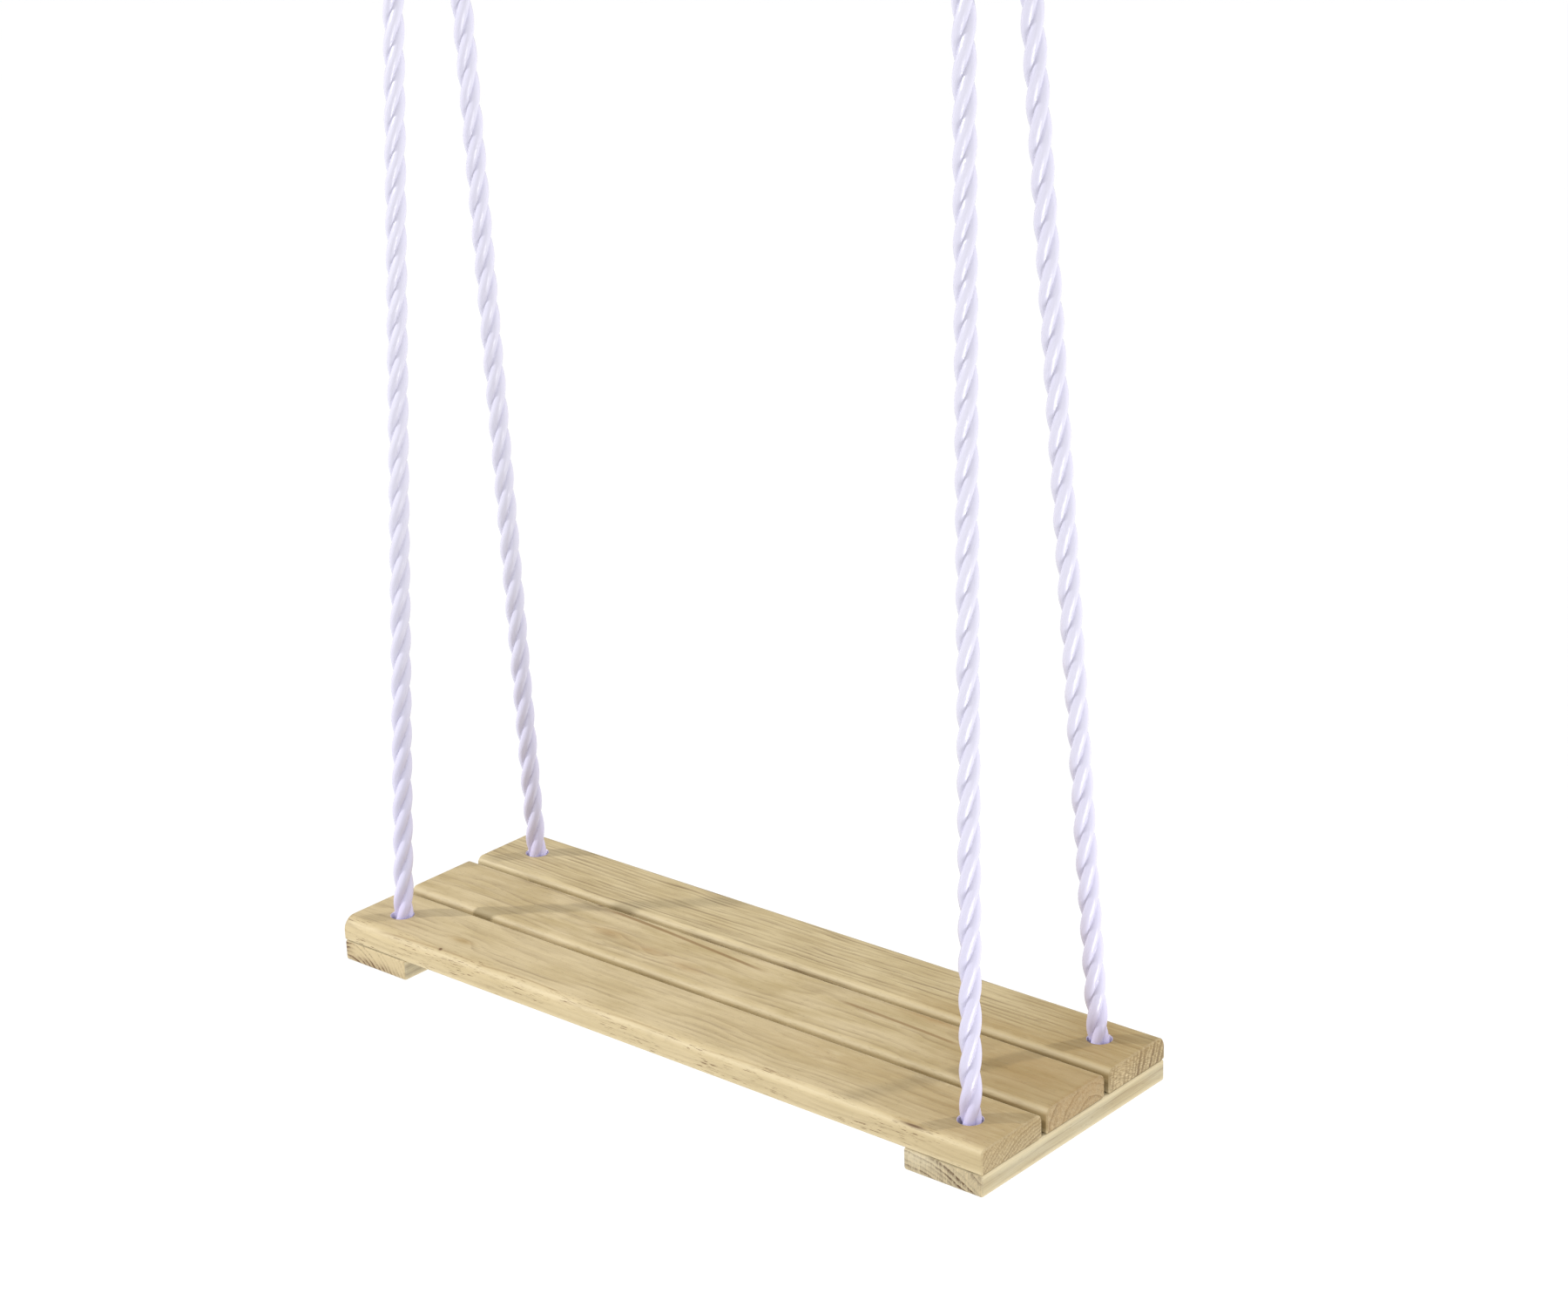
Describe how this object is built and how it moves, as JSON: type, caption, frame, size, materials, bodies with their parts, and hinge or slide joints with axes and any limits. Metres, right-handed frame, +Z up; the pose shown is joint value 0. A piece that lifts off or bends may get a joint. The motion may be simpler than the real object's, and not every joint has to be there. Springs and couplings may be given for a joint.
{
  "type": "swing seat",
  "caption": "Hanging swing with a slatted wooden seat on cross battens, laid ropes at its corners, and D-rings in eye bolts for a beam.",
  "frame": {"origin": "on the underside of the beam, midway between the two eye bolts", "axes": "+X along the seat from left to right, +Y to the rear, +Z up"},
  "size_m": [0.501, 0.171, 0.932],
  "materials": {
    "slat_wood": "planed, unpainted",
    "batten_wood": "sawn and planed, unpainted",
    "rope": "laid polypropylene rope, slightly glossy",
    "ferrule_metal": "pressed, satin",
    "screw_steel": "zinc plated",
    "hanger_steel": "zinc plated, satin"
  },
  "bodies": {
    "hangers": {"left_eye_bolt": "hanger_steel", "right_eye_bolt": "hanger_steel"},
    "left_ring": {"left_d_ring": "hanger_steel"},
    "right_ring": {"right_d_ring": "hanger_steel"},
    "seat": {"front_slat": "slat_wood", "middle_slat": "slat_wood", "rear_slat": "slat_wood", "left_batten": "batten_wood", "left_screws": "screw_steel", "left_rope": "rope", "left_front_ferrule": "ferrule_metal", "left_rear_ferrule": "ferrule_metal", "right_batten": "batten_wood", "right_screws": "screw_steel", "right_rope": "rope", "right_front_ferrule": "ferrule_metal", "right_rear_ferrule": "ferrule_metal"}
  },
  "joints": [
    {"name": "left_ring_swing", "type": "hinge", "parent": "hangers", "child": "left_ring", "pos_m": [-0.2, 0, -0.0237], "axis": [1, 0, 0], "range_deg": [-60, 60]},
    {"name": "right_ring_swing", "type": "hinge", "parent": "hangers", "child": "right_ring", "pos_m": [0.2, 0, -0.0237], "axis": [1, 0, 0], "range_deg": [-60, 60]},
    {"name": "seat_swing", "type": "hinge", "parent": "left_ring", "child": "seat", "pos_m": [-0.2, 0, -0.0597], "axis": [1, 0, 0], "range_deg": [-20, 20]}
  ],
  "couplings": [
    {"joint": "right_ring_swing", "follows": "left_ring_swing", "ratio": 1}
  ]
}
